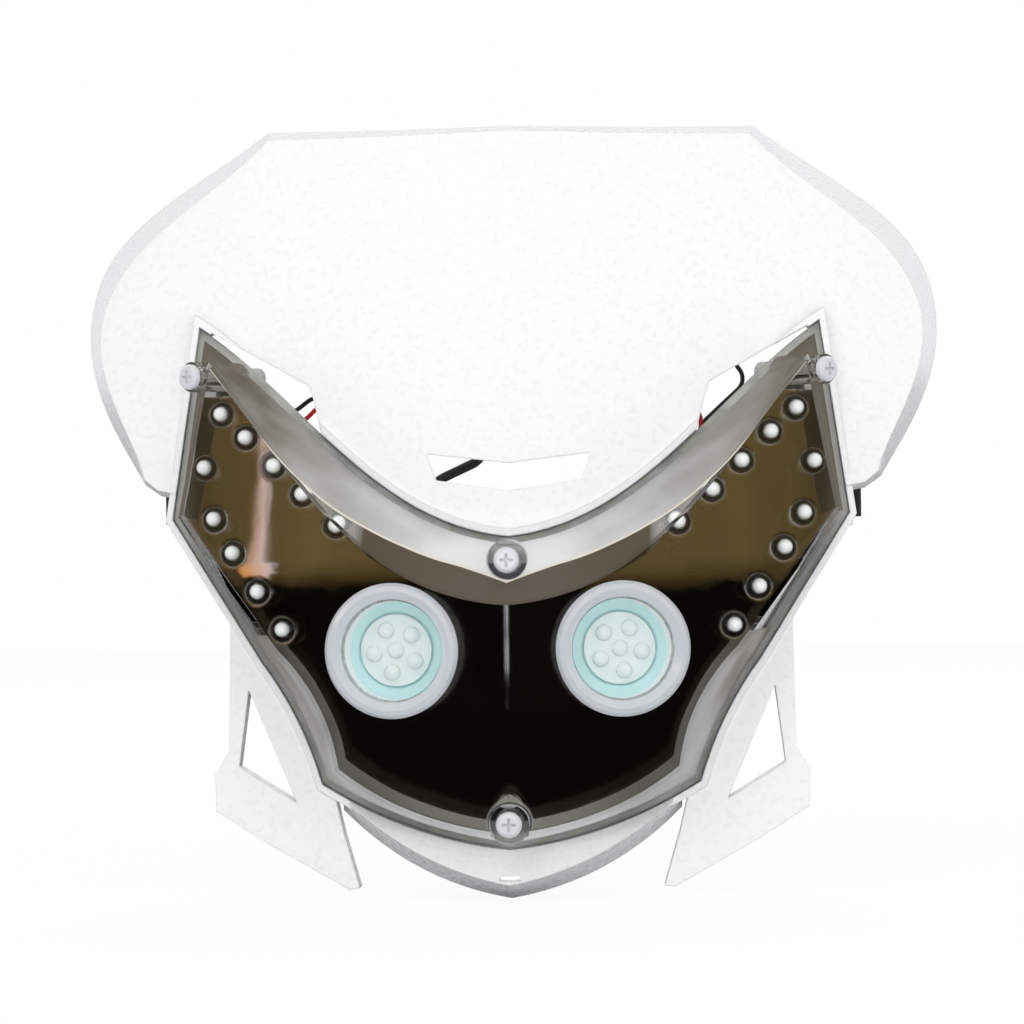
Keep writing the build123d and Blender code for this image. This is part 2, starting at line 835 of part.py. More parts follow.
def make_wire(run, side, pin, slot):
    """Lamp wire from a lamp's socket through the housing's back wall to the connector."""
    back = lamp_plane(-cup_depth - socket_length)
    start = back.origin + back.x_dir * pin * pin_spacing / 2
    begin = start - back.z_dir * cable_bend
    ahead = [(start.X * side, start.Y, start.Z), (begin.X * side, begin.Y, begin.Z)]
    end, direction = connector_end(slot * wire_spacing)
    bend = end - direction * (wire_straight + wire_step * (2 - abs(slot)))
    return make_run(ahead + run + [bend, end], wire_radius, wire_bend)


def make_grommet():
    """Rubber bush that seats the cable in the housing's back wall."""
    x, z = grommet_place
    front = -tray_back - tray_wall
    with BuildPart() as grommet:
        add(pillar(x, z, grommet_neck, front, -tray_back))
        add(pillar(x, z, grommet_flange, front - grommet_lip, front))
        add(pillar(x, z, grommet_flange, -tray_back, -tray_back + grommet_lip))
        add(pillar(x, z, cable_radius + screw_gap, front - 2 * grommet_lip, 0), mode=Mode.SUBTRACT)
    return grommet


def make_connector():
    """Connector shell, closed at the wires' end and open at the top for the bike's plug."""
    width, length, height = connector_size
    with BuildPart() as shell:
        with BuildSketch(connector_plane(connector_standoff)):
            Rectangle(width, length)
        extrude(amount=height)
        fillet(shell.edges(), connector_radius)
        with BuildSketch(connector_plane(connector_standoff + connector_wall)):
            with Locations((0, -length / 2)):
                Rectangle(width - 2 * connector_wall, 2 * connector_cavity)
        extrude(amount=height - 2 * connector_wall, mode=Mode.SUBTRACT)
    return shell


def make_blades():
    """Three blade pins in the connector."""
    width, thickness = blade_size
    middle = connector_standoff + (connector_size[2] - thickness) / 2
    length = connector_cavity - blade_setback
    tip = -connector_size[1] / 2 + blade_setback
    with BuildPart() as blades:
        with BuildSketch(connector_plane(middle)):
            with Locations((0, tip + length / 2)):
                with GridLocations(blade_spacing, 1, 3, 1):
                    Rectangle(width, length)
        extrude(amount=thickness)
    return blades


def make_clips():
    """Two hooked clips on the plate's back that hold the connector."""
    width, _, height = connector_size
    top = connector_standoff + height + seat_gap
    wall = width / 2 + seat_gap + clip_wall / 2
    with BuildPart() as clips:
        with BuildSketch(connector_plane(-mask_wall / 2)):
            with GridLocations(2 * wall, 1, 2, 1):
                Rectangle(clip_wall, clip_length)
        extrude(amount=mask_wall / 2 + top)
        with BuildSketch(connector_plane(top)):
            with GridLocations(2 * wall - clip_hook, 1, 2, 1):
                Rectangle(clip_wall + clip_hook, clip_length)
        extrude(amount=clip_hook_height)
    return clips.part


def plate_y(x, z):
    """Y of the number plate's front at a place in the front view."""
    return plate_depth - nose_depth + plate_lean * z + plate_radius - (plate_radius**2 - x**2) ** 0.5


def behind_plate(setback):
    """Everything behind the number plate's curved front."""
    lead = plate_depth - nose_depth + setback
    side = 200.0
    with BuildPart() as block:
        with BuildSketch():
            with BuildLine():
                bow = ThreePointArc(
                    (-side, plate_y(side, 0) + setback), (0, lead), (side, plate_y(side, 0) + setback)
                )
                Polyline(bow @ 1, (side, reach), (-side, reach), bow @ 0)
            make_face()
        extrude(amount=reach, dir=(0, plate_lean, 1), both=True)
    return block.part


def plate_walls(inset):
    """Solid inside the number plate's flared edge."""
    return walls(plate_rim, inset, 30 - nose_depth, 5.0, (0, 0), plate_y)


def prism(points, grow=0.0):
    """Front view outline on the right, carried through the whole depth."""
    with BuildPart() as block:
        with BuildSketch(Plane.XZ.offset(reach)):
            with BuildLine():
                Polyline(*points, close=True)
            make_face()
            if grow:
                offset(amount=grow, kind=Kind.INTERSECTION)
        extrude(amount=-2 * reach)
    return block.part


def chin_y(x, z):
    """Y of the chin lip's front at a place in the front view."""
    return chin_depth - nose_depth + chin_sweep * abs(x) + chin_lean * (z - chin_level)


def make_strap_post():
    """Bracket and headed post on the right of the mask, for the rubber strap."""
    across = fork_offset + fork_radius - seat_gap - post_radius
    low = -strap_height / 2 - seat_gap
    bracket_length = bracket_start - post_setback + post_radius
    with BuildPart() as post:
        with BuildSketch(Plane.XY.offset(low)):
            with Locations((across + post_radius - bracket_width / 2, bracket_length / 2 - bracket_start)):
                Rectangle(bracket_width, bracket_length)
        extrude(amount=-mask_wall)
        with BuildSketch(Plane.XY.offset(low)):
            with Locations((across, -post_setback)):
                Circle(post_radius)
        extrude(amount=strap_height + 2 * seat_gap)
        with BuildSketch(Plane.XY.offset(-low)):
            with Locations((across, -post_setback)):
                Circle(post_head_radius)
        extrude(amount=post_head)
    return post.part


def make_mask():
    """White moulding: number plate, frame round the lamp unit, cheeks, chin lip and strap posts."""
    plate = plate_walls(0) & (behind_plate(0) - behind_plate(plate_flange))
    plate_hollow = plate_walls(mask_wall) & behind_plate(mask_wall)
    clips = make_clips()
    strap_posts = both_sides(make_strap_post())
    ledge_holes = []
    for place in housing_screw_places:
        ledge_holes += both_sides(
            ledge_pillar(place, housing_boss_radius + screw_gap, 0, ledge_thickness + 1)
        )
    skirt = ring(-seat_gap - skirt_wall, -seat_gap, -skirt_ahead, skirt_astern, straight_rim)
    ledge = ring(-seat_gap - 1.0, ledge_width, tray_flange_back, tray_flange_back + ledge_thickness,
                 straight_rim)
    opening = lamp_walls(-seat_gap, 120, 160, straight_rim)
    tray_room = tray_walls(tray_inset - seat_gap)
    cheek_zone = behind_rim(0) - behind_rim(cheek_depth)
    cheek_shell = (prism(cheek) & cheek_zone) - (prism(cheek, -mask_wall) & behind_rim(mask_wall))
    cheek_shell += (prism(window, window_wall) & cheek_zone)
    cheek_shell -= prism(window)
    lip_front = chin_depth - nose_depth - chin_lean * chin_level
    lip = wedge(lip_front, chin_sweep, chin_lean)
    lip_inner = wedge(lip_front + chin_wall, chin_sweep, chin_lean)
    lead = chin_depth - nose_depth
    chin_outer = walls(chin, 0, lead - 25, lead + 45, (0, 0), chin_y)
    chin_inner = walls(chin, mask_wall, lead - 25, lead + 45, (0, 0), chin_y)
    chin_zone = lip - behind_rim(cheek_depth)
    chin_shell = (chin_outer & chin_zone) - (chin_inner & lip_inner)
    post_rooms = [
        pillar(0, height, post_outer_radius + seat_gap, -nose_depth, 0) & behind_rim(0)
        for height in (top_screw_height, bottom_screw_height)
    ]
    with BuildPart() as mask:
        add(plate)
        add(plate_hollow, mode=Mode.SUBTRACT)
        add(clips)
        add(both_sides(cheek_shell))
        add(chin_shell)
        add(opening, mode=Mode.SUBTRACT)
        add(skirt)
        add(ledge)
        add(both_sides(prism(horn_opening)), mode=Mode.SUBTRACT)
        add(strap_posts)
        with BuildSketch(Plane.XZ.offset(reach)):
            with BuildLine():
                Polyline(*mouth)
                mirror(about=Plane.YZ)
            make_face()
        extrude(amount=-2 * reach, mode=Mode.SUBTRACT)
        with BuildSketch(Plane.XZ.offset(nose_depth)):
            with Locations((0, slot_height)):
                Rectangle(*slot_size)
        extrude(amount=-20, mode=Mode.SUBTRACT)
        add(tray_room, mode=Mode.SUBTRACT)
        add(ledge_holes, mode=Mode.SUBTRACT)
        add(post_rooms, mode=Mode.SUBTRACT)
    return mask


def make_strap():
    """Rubber loop stretched round the right fork tube and hooked on the mask's post."""
    across = fork_offset + fork_radius - seat_gap - post_radius
    loop = []
    for grow in (strap_thickness, 0.0):
        with BuildPart() as block:
            with BuildSketch(Plane.XY.offset(-strap_height / 2)):
                with BuildLine():
                    CenterArc((fork_offset, 0), fork_radius + grow, 0, 360)
                    CenterArc((across, -post_setback), post_radius + seat_gap + grow, 0, 360)
                make_hull()
            extrude(amount=strap_height)
        loop.append(block.part)
    with BuildPart() as strap:
        add(loop[0])
        add(loop[1], mode=Mode.SUBTRACT)
    return strap


def save(part, name):
    """Label a finished piece and write it."""
    part.part.label = name
    export_step(part.part, f"parts/{name}.step")


def save_pair(part, name):
    """Write a right hand piece and its mirror image on the left."""
    with BuildPart() as other:
        add(part.part.mirror(Plane.YZ))
    save(part, f"right_{name}")
    save(other, f"left_{name}")


save(make_lens(), "lens_cover")
save(make_seal(), "lens_seal")
save(make_housing(), "lamp_housing")
save(make_reflector(), "reflector")
save_pair(make_strip(upper_row), "upper_strip")
save_pair(make_strip(side_row), "side_strip")
save_pair(make_leds(upper_row), "upper_leds")
save_pair(make_leds(side_row), "side_leds")
save_pair(make_trim_ring(), "trim_ring")
save_pair(make_lamp_cup(), "lamp_cup")
save_pair(make_lamp_glass(), "lamp_glass")
save_pair(make_cluster_board(), "cluster_board")
save_pair(make_cluster_leds(), "cluster_leds")
save_pair(make_lamp_socket(), "lamp_socket")
top_plane = Plane(origin=(0, top_screw_depth - nose_depth, top_screw_height), z_dir=(0, -1, 0))
bottom_plane = Plane(origin=(0, bottom_screw_depth - nose_depth, bottom_screw_height), z_dir=(0, -1, 0))
save(make_screw(top_plane, top_seat - top_plane.origin.Y + 8), "top_screw")
save(make_screw(bottom_plane, bottom_seat - bottom_plane.origin.Y + 8), "bottom_screw")
save_pair(make_screw(horn_plane(-1.5), screw_length), "horn_screw")
for height, place in zip(("upper", "lower"), housing_screw_places):
    seat = ledge_plane(place, ledge_thickness)
    length = ledge_thickness + housing_screw_bite - seat_gap
    screw = make_screw(seat, length, housing_screw_head_radius, housing_screw_head, housing_screw_radius)
    save_pair(screw, f"{height}_housing_screw")
save(make_cable(), "main_cable")
save(make_grommet(), "cable_grommet")
save(make_wire(left_red_run, -1, -1, -1), "left_red_wire")
save(make_wire(left_black_run, -1, 1, -2), "left_black_wire")
save(make_wire(right_red_run, 1, -1, 1), "right_red_wire")
save(make_wire(right_black_run, 1, 1, 2), "right_black_wire")
save(make_connector(), "cable_connector")
save(make_blades(), "connector_blades")
save(make_mask(), "front_mask")
save_pair(make_strap(), "fork_strap")
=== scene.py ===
"""Dirt bike LED headlight: white moulded mask, clear lens, chromed reflector and LED lamps."""

import math

import bpy
from mathutils import Matrix, Vector


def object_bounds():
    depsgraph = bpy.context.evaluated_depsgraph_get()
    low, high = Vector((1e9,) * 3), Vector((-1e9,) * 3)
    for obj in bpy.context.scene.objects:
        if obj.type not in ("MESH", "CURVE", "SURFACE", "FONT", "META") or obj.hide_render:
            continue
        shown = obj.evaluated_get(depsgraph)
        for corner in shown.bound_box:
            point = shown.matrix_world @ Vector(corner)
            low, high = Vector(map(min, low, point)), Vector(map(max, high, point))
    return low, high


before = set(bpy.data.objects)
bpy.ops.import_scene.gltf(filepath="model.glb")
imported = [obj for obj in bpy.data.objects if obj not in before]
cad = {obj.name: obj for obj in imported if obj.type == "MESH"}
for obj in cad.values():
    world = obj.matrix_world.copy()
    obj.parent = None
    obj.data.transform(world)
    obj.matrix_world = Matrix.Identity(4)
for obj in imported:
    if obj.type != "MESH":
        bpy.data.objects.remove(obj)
cad_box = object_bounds()

# View
# The headlight is seen level with its middle, with its nose turned slightly to the left.
# A long lens keeps the number plate and the nose at nearly one scale.

NOSE_DEPTH = 0.125
VIEW_DISTANCE = 1.4
VIEW_WIDTH = 0.3277
VIEW_AIM = Vector((0.0022, 0.008 - NOSE_DEPTH, -0.0061))
VIEW_YAW = math.radians(1.7)
VIEW_ROLL = math.radians(-0.7)

camera_data = bpy.data.cameras.new("camera")
camera_data.sensor_width = 36.0
camera_data.lens = camera_data.sensor_width * VIEW_DISTANCE / VIEW_WIDTH
camera_data.clip_end = 20.0
camera = bpy.data.objects.new("camera", camera_data)
bpy.context.scene.collection.objects.link(camera)
camera.location = VIEW_AIM + VIEW_DISTANCE * Vector((math.sin(VIEW_YAW), -math.cos(VIEW_YAW), 0))
facing = (VIEW_AIM - camera.location).to_track_quat("-Z", "Y").to_matrix()
camera.rotation_euler = (facing @ Matrix.Rotation(VIEW_ROLL, 3, "Z")).to_euler()
bpy.context.scene.camera = camera
bpy.context.scene.view_settings.view_transform = "Standard"

# Studio
# Three soft boxes light the white moulding from the front. The room in front is dark, with an
# ochre ceiling, a window straight ahead and a glint at the left, which the chrome mirrors; the
# room behind is white.

ROOM_BLACK = "050403"
ROOM_DARK = "0d0a06"
ROOM_OCHRE = "5f4f30"
ROOM_CEILING = "85714c"
ROOM_WHITE = "f4f6fa"
ROOM_AMBIENT = "c8c9c9"
WINDOW_COOL = "dfe9f5"
STREAK_WARM = "f7b06a"
STREAK_LILAC = "f1edfc"
STREAK_AIM = Vector((-0.80, -0.5, 0.34)).normalized()
LAMP_SIZE = 1.2


def linear(code):
    """Linear colour of an sRGB hex value."""
    values = [int(code[i : i + 2], 16) / 255 for i in (0, 2, 4)]
    return [v / 12.92 if v <= 0.04045 else ((v + 0.055) / 1.055) ** 2.4 for v in values] + [1.0]


def shade(tree, kind, settings=None, **links):
    """Add a shader node, set its attributes and inputs, and link other nodes' outputs to its inputs."""
    added = tree.nodes.new(kind)
    for name, value in (settings or {}).items():
        if isinstance(name, str) and hasattr(added, name):
            setattr(added, name, value)
        else:
            added.inputs[name].default_value = value
    for name, source in links.items():
        key = int(name[1:]) if name[1:].isdigit() else name.replace("_", " ")
        tree.links.new(source, added.inputs[key])
    return added


for name, place, power in (
    ("key_light", (-0.6, -1.5, 1.2), 7.2),
    ("fill_light", (1.1, -1.4, 0.5), 4.5),
    ("low_light", (0.0, -1.6, -0.05), 9.0),
    ("back_light", (0.2, 1.6, 1.2), 8.0),
):
    lamp = bpy.data.lights.new(name, "AREA")
    lamp.size = LAMP_SIZE
    lamp.energy = power
    holder = bpy.data.objects.new(name, lamp)
    holder.location = place
    holder.rotation_euler = (-Vector(place)).to_track_quat("-Z", "Y").to_euler()
    holder.visible_glossy = False
    holder.visible_transmission = False
    bpy.context.scene.collection.objects.link(holder)

world = bpy.data.worlds.new("studio_room")
bpy.context.scene.world = world
world.use_nodes = True
tree = world.node_tree
tree.nodes.clear()
direction = shade(tree, "ShaderNodeTexCoord").outputs["Generated"]
axes = shade(tree, "ShaderNodeSeparateXYZ", Vector=direction)
clutter = shade(tree, "ShaderNodeTexNoise", {"Scale": 2.5, "Detail": 3.0}, Vector=direction)
uneven = shade(tree, "ShaderNodeMath", {"operation": "MULTIPLY_ADD", 1: 0.5, 2: -0.25},
               _0=clutter.outputs["Fac"])
height = shade(tree, "ShaderNodeMath", {"operation": "ADD"}, _0=axes.outputs["Z"], _1=uneven.outputs[0])
rise = shade(tree, "ShaderNodeMapRange", {"From Min": -0.3, "From Max": 0.8}, Value=height.outputs[0])
wall = shade(tree, "ShaderNodeValToRGB", Fac=rise.outputs["Result"])
wall.color_ramp.elements[0].color = linear(ROOM_BLACK)
wall.color_ramp.elements[1].color = linear(ROOM_CEILING)
wall.color_ramp.elements.new(0.34).color = linear(ROOM_DARK)
wall.color_ramp.elements.new(0.58).color = linear(ROOM_OCHRE)
behind = shade(
    tree, "ShaderNodeMapRange",
    {"From Min": -0.05, "From Max": 0.4, "interpolation_type": "SMOOTHSTEP"}, Value=axes.outputs["Y"],
)
ahead = shade(tree, "ShaderNodeMapRange",
              {"From Min": -0.965, "From Max": -0.988, "interpolation_type": "SMOOTHSTEP"},
              Value=axes.outputs["Y"])
panes = shade(tree, "ShaderNodeMix", {"data_type": "RGBA", 7: linear(WINDOW_COOL)},
              _0=ahead.outputs["Result"], _6=wall.outputs["Color"])
aimed = shade(tree, "ShaderNodeVectorMath", {"operation": "DOT_PRODUCT", 1: STREAK_AIM}, _0=direction)
ripple = shade(tree, "ShaderNodeTexNoise", {"Scale": 9.0, "Detail": 2.0}, Vector=direction)
broken = shade(tree, "ShaderNodeMath", {"operation": "MULTIPLY_ADD", 1: 0.024, 2: -0.012},
               _0=ripple.outputs["Fac"])
near = shade(tree, "ShaderNodeMath", {"operation": "ADD"}, _0=aimed.outputs["Value"], _1=broken.outputs[0])
glint = shade(tree, "ShaderNodeMapRange",
              {"From Min": 0.989, "From Max": 0.996, "interpolation_type": "SMOOTHSTEP"},
              Value=near.outputs[0])
drift = shade(tree, "ShaderNodeMapRange", {"From Min": -0.7, "From Max": -0.86}, Value=axes.outputs["X"])
hue = shade(tree, "ShaderNodeMix", {"data_type": "RGBA", 6: linear(STREAK_LILAC), 7: linear(STREAK_WARM)},
            _0=drift.outputs["Result"])
streaked = shade(tree, "ShaderNodeMix", {"data_type": "RGBA"},
                 _0=glint.outputs["Result"], _6=panes.outputs[2], _7=hue.outputs[2])
room = shade(tree, "ShaderNodeMix", {"data_type": "RGBA", 7: linear(ROOM_WHITE)},
             _0=behind.outputs["Result"], _6=streaked.outputs[2])
ray = shade(tree, "ShaderNodeLightPath")
even = shade(tree, "ShaderNodeMix", {"data_type": "RGBA", 7: linear(ROOM_AMBIENT)},
             _0=ray.outputs["Is Diffuse Ray"], _6=room.outputs[2])
seen = shade(tree, "ShaderNodeMix", {"data_type": "RGBA", 7: (1, 1, 1, 1)},
             _0=ray.outputs["Is Camera Ray"], _6=even.outputs[2])
background = shade(tree, "ShaderNodeBackground", Color=seen.outputs[2])
shade(tree, "ShaderNodeOutputWorld", Surface=background.outputs["Background"])

# Floor
# A flat sheet of white paper, just under the chin and level with it.
# It shows white to the camera and stays dark for the chrome and the clear parts.

FLOOR_LEVEL = cad_box[0][2] - 0.0005
FLOOR_SIDE = 5.0
FLOOR_CORNERS = ((-1, -1), (1, -1), (1, 1), (-1, 1))
PAPER_GLOW = 1.03
PAPER_GLOW_SHARE = 0.88
PAPER_WHITE = "fbfcff"

floor_mesh = bpy.data.meshes.new("paper_floor")
corners = [(x * FLOOR_SIDE / 2, y * FLOOR_SIDE / 2, FLOOR_LEVEL) for x, y in FLOOR_CORNERS]
floor_mesh.from_pydata(corners, [], [(0, 1, 2, 3)])
floor = bpy.data.objects.new("paper_floor", floor_mesh)
bpy.context.scene.collection.objects.link(floor)

paper = bpy.data.materials.new("white_paper")
paper.use_nodes = True
tree = paper.node_tree
matt = tree.nodes["Principled BSDF"]
matt.inputs["Base Color"].default_value = linear(PAPER_WHITE)
matt.inputs["Roughness"].default_value = 0.9
ray = shade(tree, "ShaderNodeLightPath")
glow = shade(tree, "ShaderNodeEmission", {"Color": (1, 1, 1, 1), "Strength": PAPER_GLOW})
dark = shade(tree, "ShaderNodeEmission", {"Color": linear(ROOM_DARK)})
bent = shade(tree, "ShaderNodeMath", {"operation": "MAXIMUM"},
             _0=ray.outputs["Is Glossy Ray"], _1=ray.outputs["Is Transmission Ray"])
share = shade(tree, "ShaderNodeMath", {"operation": "MULTIPLY", 1: PAPER_GLOW_SHARE},
              _0=ray.outputs["Is Camera Ray"])
lit = shade(tree, "ShaderNodeMixShader", _0=share.outputs[0], _1=matt.outputs[0], _2=glow.outputs[0])
shown = shade(tree, "ShaderNodeMixShader", _0=bent.outputs[0], _1=lit.outputs[0], _2=dark.outputs[0])
tree.links.new(shown.outputs[0], tree.nodes["Material Output"].inputs["Surface"])
floor_mesh.materials.append(paper)

# Front mask
# One injection moulding in white polypropylene: number plate, cheeks and chin lip.
# The mould is polished, so it shines softly, with a faint grain and rounded edges.

PP_WHITE = "f8f8f8"
PP_SHADOW = "f3f3f2"
PP_GRAIN = 0.0025
PP_EDGE = 0.0009
PP_ROUGHNESS = (0.24, 0.32)

polypropylene = bpy.data.materials.new("white_polypropylene")
polypropylene.use_nodes = True
tree = polypropylene.node_tree
skin = tree.nodes["Principled BSDF"]
skin.inputs["IOR"].default_value = 1.49
skin.inputs["Subsurface Weight"].default_value = 0.08
skin.inputs["Subsurface Radius"].default_value = (0.004, 0.004, 0.004)
skin.inputs["Subsurface Scale"].default_value = 0.5
place = shade(tree, "ShaderNodeTexCoord").outputs["Object"]
grain = shade(tree, "ShaderNodeTexNoise", {"Scale": 1 / PP_GRAIN, "Detail": 2.0}, Vector=place)
gloss = shade(tree, "ShaderNodeMapRange", {"To Min": PP_ROUGHNESS[0], "To Max": PP_ROUGHNESS[1]},
              Value=grain.outputs["Fac"])
tree.links.new(gloss.outputs["Result"], skin.inputs["Roughness"])
tone = shade(tree, "ShaderNodeMix", {"data_type": "RGBA", 6: linear(PP_SHADOW), 7: linear(PP_WHITE)},
             _0=grain.outputs["Fac"])
tree.links.new(tone.outputs[2], skin.inputs["Base Color"])
edge = shade(tree, "ShaderNodeBevel", {"samples": 6, "Radius": PP_EDGE})
relief = shade(tree, "ShaderNodeBump", {"Strength": 0.12, "Distance": 0.00005},
               Height=grain.outputs["Fac"], Normal=edge.outputs["Normal"])
tree.links.new(relief.outputs["Normal"], skin.inputs["Normal"])
for place in cad["front_mask"].material_slots:
    place.material = polypropylene

# Lens cover
# Clear polycarbonate, 1.8 mm thick, polished in front, with satin side walls that look silver grey
# and darken towards the horns in painted shade. On the upper wall the satin ends at a cream line,
# a painted highlight short of the front; the dark tone below it is a painted reflection of the
# dark chrome that shows there.

PC_TINT = "feffff"
PC_IOR = 1.585
PC_SATIN_ROUGHNESS = 0.38
PC_SATIN_MIDDLE = "f1f2f1"
# The horn colour is painted shade: the satin darkens towards the horns.
PC_SATIN_HORN_SHADE = "6f675a"
PC_SATIN_SHARE = 0.85
HORN_SHADE_REACH = (0.01, 0.095)
HORN_SHADE_DRIFT = 0.05
# The cream line is a painted highlight along the upper wall; the satin ends at it.
HIGHLIGHT_CREAM = "f3ebda"
HIGHLIGHT_WIDTH = 0.0009
HIGHLIGHT_LINE = [
    (0.0, -28.5), (15.0, -23.3), (24.0, -20.6), (33.6, -16.7), (44.8, -11.1), (55.2, -4.7), (63.2, 1.7),
    (71.3, 9.4), (79.5, 18.6), (87.9, 29.2), (96.4, 40.7), (100.0, 46.0),
]
HIGHLIGHT_SPAN = (-30.0, 50.0)
LINE_SOFTNESS = 0.0002
UPPER_WALL = -0.045
UPPER_WALL_TILT = 0.35
WALL_FACING = (0.75, 0.55)
# Painted reflection: this dark tone stands in for the dark chrome seen through the upper wall.
PC_CHROME_REFLECTION = "4c3f2a"
CHROME_REFLECTION_REACH = (0.051, 0.046)
CHROME_REFLECTION_COVER = 0.93

polycarbonate = bpy.data.materials.new("clear_polycarbonate")
polycarbonate.use_nodes = True
tree = polycarbonate.node_tree
clear = tree.nodes["Principled BSDF"]
clear.inputs["Base Color"].default_value = linear(PC_TINT)
clear.inputs["IOR"].default_value = PC_IOR
clear.inputs["Transmission Weight"].default_value = 1.0
geometry = shade(tree, "ShaderNodeNewGeometry")
facing_way = shade(tree, "ShaderNodeSeparateXYZ", Vector=geometry.outputs["Normal"])
frontness = shade(tree, "ShaderNodeMath", {"operation": "ABSOLUTE"}, _0=facing_way.outputs["Y"])
place = shade(tree, "ShaderNodeTexCoord").outputs["Object"]
across = shade(tree, "ShaderNodeSeparateXYZ", Vector=place)
side = shade(tree, "ShaderNodeMath", {"operation": "ABSOLUTE"}, _0=across.outputs["X"])
along = shade(tree, "ShaderNodeMath", {"operation": "DIVIDE", 1: HIGHLIGHT_LINE[-1][0] / 1000}, _0=side.outputs[0])
highlight_path = shade(tree, "ShaderNodeFloatCurve", Value=along.outputs[0])
knots = highlight_path.mapping.curves[0].points
for count, (x, z) in enumerate(HIGHLIGHT_LINE):
    spot = (x / HIGHLIGHT_LINE[-1][0], (z - HIGHLIGHT_SPAN[0]) / (HIGHLIGHT_SPAN[1] - HIGHLIGHT_SPAN[0]))
    if count in (0, len(HIGHLIGHT_LINE) - 1):
        knots[0 if count == 0 else -1].location = spot
    else:
        knots.new(*spot)
highlight_path.mapping.update()
level = shade(tree, "ShaderNodeMath",
              {"operation": "MULTIPLY_ADD", 1: (HIGHLIGHT_SPAN[1] - HIGHLIGHT_SPAN[0]) / 1000, 2: HIGHLIGHT_SPAN[0] / 1000},
              _0=highlight_path.outputs["Value"])
above = shade(tree, "ShaderNodeMath", {"operation": "SUBTRACT"}, _0=across.outputs["Z"], _1=level.outputs[0])
below = shade(tree, "ShaderNodeMapRange", {"From Min": LINE_SOFTNESS, "From Max": -LINE_SOFTNESS},
              Value=above.outputs[0])
upper = shade(tree, "ShaderNodeMath", {"operation": "GREATER_THAN", 1: UPPER_WALL}, _0=across.outputs["Z"])
tilt = shade(tree, "ShaderNodeMath", {"operation": "ABSOLUTE"}, _0=facing_way.outputs["Z"])
level_wall = shade(tree, "ShaderNodeMath", {"operation": "GREATER_THAN", 1: UPPER_WALL_TILT},
                   _0=tilt.outputs[0])
polished = shade(tree, "ShaderNodeMath", {"operation": "MULTIPLY"}, _0=below.outputs[0], _1=upper.outputs[0])
polished = shade(tree, "ShaderNodeMath", {"operation": "MULTIPLY"},
                 _0=polished.outputs[0], _1=level_wall.outputs[0])
walls = shade(tree, "ShaderNodeMapRange", {"From Min": WALL_FACING[0], "From Max": WALL_FACING[1]},
              Value=frontness.outputs[0])
satin = shade(tree, "ShaderNodeMath", {"operation": "SUBTRACT", "use_clamp": True},
              _0=walls.outputs["Result"], _1=polished.outputs[0])
blur = shade(tree, "ShaderNodeMath", {"operation": "MULTIPLY", 1: PC_SATIN_ROUGHNESS}, _0=satin.outputs[0])
tree.links.new(blur.outputs[0], clear.inputs["Roughness"])
# Painted shade: towards the horns the satin darkens, with a ragged edge.
horn_shade_noise = shade(tree, "ShaderNodeTexNoise", {"Scale": 45.0, "Detail": 2.0}, Vector=place)
drift = shade(tree, "ShaderNodeMath", {"operation": "MULTIPLY_ADD", 1: HORN_SHADE_DRIFT, 2: -HORN_SHADE_DRIFT / 2},
              _0=horn_shade_noise.outputs["Fac"])
reach = shade(tree, "ShaderNodeMath", {"operation": "ADD"}, _0=side.outputs[0], _1=drift.outputs[0])
horn_shade = shade(tree, "ShaderNodeMapRange", {"From Min": HORN_SHADE_REACH[0], "From Max": HORN_SHADE_REACH[1]},
             Value=reach.outputs[0])
tone = shade(tree, "ShaderNodeMix",
             {"data_type": "RGBA", 6: linear(PC_SATIN_MIDDLE), 7: linear(PC_SATIN_HORN_SHADE)},
             _0=horn_shade.outputs["Result"])
# Painted highlight: the cream line along the upper wall.
gap = shade(tree, "ShaderNodeMath", {"operation": "ABSOLUTE"}, _0=above.outputs[0])
painted_highlight = shade(tree, "ShaderNodeMapRange",
               {"From Min": HIGHLIGHT_WIDTH / 2, "From Max": HIGHLIGHT_WIDTH / 2 - LINE_SOFTNESS},
               Value=gap.outputs[0])
painted_highlight = shade(tree, "ShaderNodeMath", {"operation": "MULTIPLY"},
               _0=painted_highlight.outputs[0], _1=level_wall.outputs[0])
paint = shade(tree, "ShaderNodeMix", {"data_type": "RGBA", 7: linear(HIGHLIGHT_CREAM)},
              _0=painted_highlight.outputs[0], _6=tone.outputs[2])
# Painted reflection of the dark chrome, below the cream line.
chrome_reflection_band = shade(tree, "ShaderNodeMapRange",
                {"From Min": CHROME_REFLECTION_REACH[0], "From Max": CHROME_REFLECTION_REACH[1], "To Max": CHROME_REFLECTION_COVER},
                Value=side.outputs[0])
painted_chrome_reflection = shade(tree, "ShaderNodeMath", {"operation": "MULTIPLY"},
               _0=chrome_reflection_band.outputs["Result"], _1=polished.outputs[0])
chrome_reflection_mask = shade(tree, "ShaderNodeMath", {"operation": "SUBTRACT", "use_clamp": True},
             _0=painted_chrome_reflection.outputs[0], _1=painted_highlight.outputs[0])
chrome_reflection_tone = shade(tree, "ShaderNodeMix", {"data_type": "RGBA", 7: linear(PC_CHROME_REFLECTION)},
            _0=chrome_reflection_mask.outputs[0], _6=paint.outputs[2])
frost = shade(tree, "ShaderNodeBsdfDiffuse", Color=chrome_reflection_tone.outputs[2])
frosting = shade(tree, "ShaderNodeMath", {"operation": "MULTIPLY", 1: PC_SATIN_SHARE}, _0=satin.outputs[0])
cover = shade(tree, "ShaderNodeMath", {"operation": "MAXIMUM"}, _0=frosting.outputs[0], _1=painted_highlight.outputs[0])
cover = shade(tree, "ShaderNodeMath", {"operation": "MAXIMUM"}, _0=cover.outputs[0], _1=painted_chrome_reflection.outputs[0])
